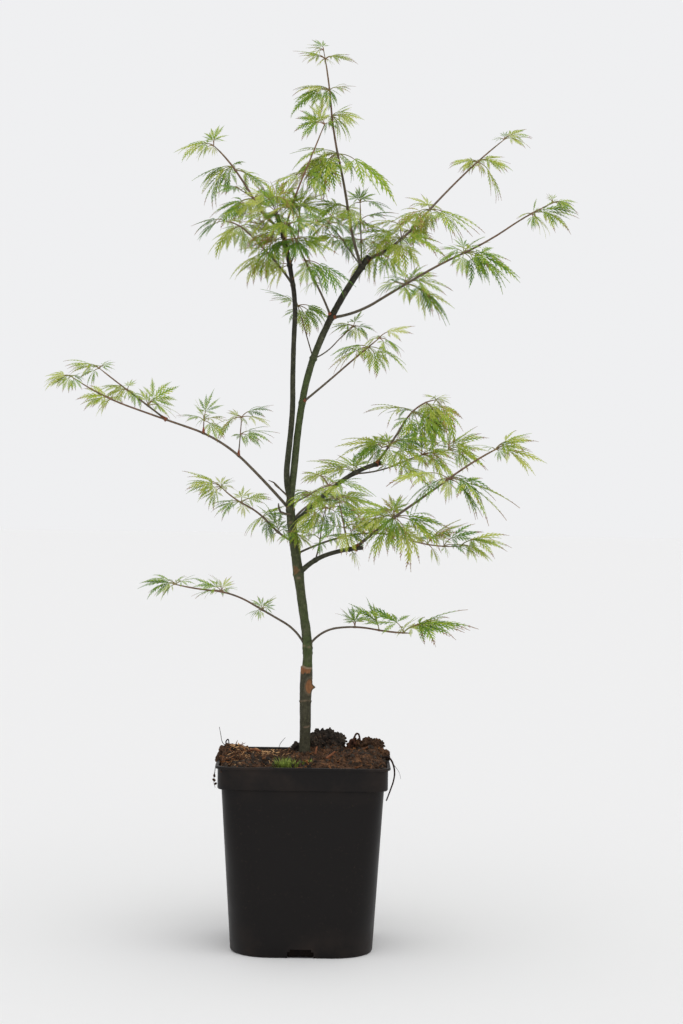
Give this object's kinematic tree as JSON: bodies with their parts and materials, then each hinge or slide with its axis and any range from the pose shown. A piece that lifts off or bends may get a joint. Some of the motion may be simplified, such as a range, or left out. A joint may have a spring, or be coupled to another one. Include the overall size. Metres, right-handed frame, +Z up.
{
  "type": "potted laceleaf japanese maple",
  "caption": "Young grafted laceleaf Japanese maple with forked stem, slender boughs and airy pads of finely cut leaves, standing in a square black plastic nursery pot.",
  "frame": {"origin": "centre of the flat underside of the pot", "axes": "+Z up along the trunk, -Y towards the front of the plant, +X to its right as seen from the front"},
  "size_m": [0.543, 0.3054, 0.9496],
  "materials": {
    "pot_plastic": "moulded black plastic, slightly dusty",
    "compost": "moist peaty compost with fibres and bark chips",
    "trunk_bark": "grey-green bark with pale lenticels and an olive stem above the graft",
    "leader_bark": "olive to blackish smooth bark",
    "shoot_bark": "smooth brown-red young bark",
    "foliage": "fresh yellow-green finely cut leaves"
  },
  "bodies": {
    "root": {"bough_back": "shoot_bark", "bough_crossing": "shoot_bark", "bough_far_left": "shoot_bark", "bough_far_left_upper": "shoot_bark", "bough_left": "shoot_bark", "bough_low_left": "shoot_bark", "bough_low_right": "shoot_bark", "bough_right_lower": "shoot_bark", "bough_right_lower_shoot": "shoot_bark", "bough_right_middle": "shoot_bark", "bough_right_thin": "shoot_bark", "bough_right_upper": "shoot_bark", "bough_right_upper_shoot": "shoot_bark", "bough_top": "shoot_bark", "bough_upper_left": "shoot_bark", "bough_upper_left_back": "shoot_bark", "bough_upper_pale": "shoot_bark", "bough_upper_right_long": "shoot_bark", "bough_upper_right_steep": "shoot_bark", "compost": "compost", "foliage_back": "foliage", "foliage_crossing": "foliage", "foliage_crown_lower": "foliage", "foliage_crown_middle": "foliage", "foliage_far_left_fork": "foliage", "foliage_far_left_inner": "foliage", "foliage_far_left_middle": "foliage", "foliage_far_left_tip": "foliage", "foliage_far_left_upper": "foliage", "foliage_fork_front": "foliage", "foliage_left_back": "foliage", "foliage_left_inner": "foliage", "foliage_left_tip": "foliage", "foliage_low_left": "foliage", "foliage_low_right": "foliage", "foliage_right_lower_inner": "foliage", "foliage_right_lower_middle": "foliage", "foliage_right_lower_tip": "foliage", "foliage_right_mid": "foliage", "foliage_right_middle": "foliage", "foliage_right_thin": "foliage", "foliage_right_upper_inner": "foliage", "foliage_right_upper_tip": "foliage", "foliage_steep_inner": "foliage", "foliage_steep_middle": "foliage", "foliage_steep_outer": "foliage", "foliage_steep_tip": "foliage", "foliage_top": "foliage", "foliage_top_inner": "foliage", "foliage_top_lower": "foliage", "foliage_top_middle": "foliage", "foliage_upper_left": "foliage", "foliage_upper_left_tip": "foliage", "foliage_upper_right_inner": "foliage", "foliage_upper_right_middle": "foliage", "foliage_upper_right_tip": "foliage", "leader_left": "leader_bark", "leader_right": "leader_bark", "pot": "pot_plastic", "trunk": "trunk_bark"}
  },
  "joints": []
}
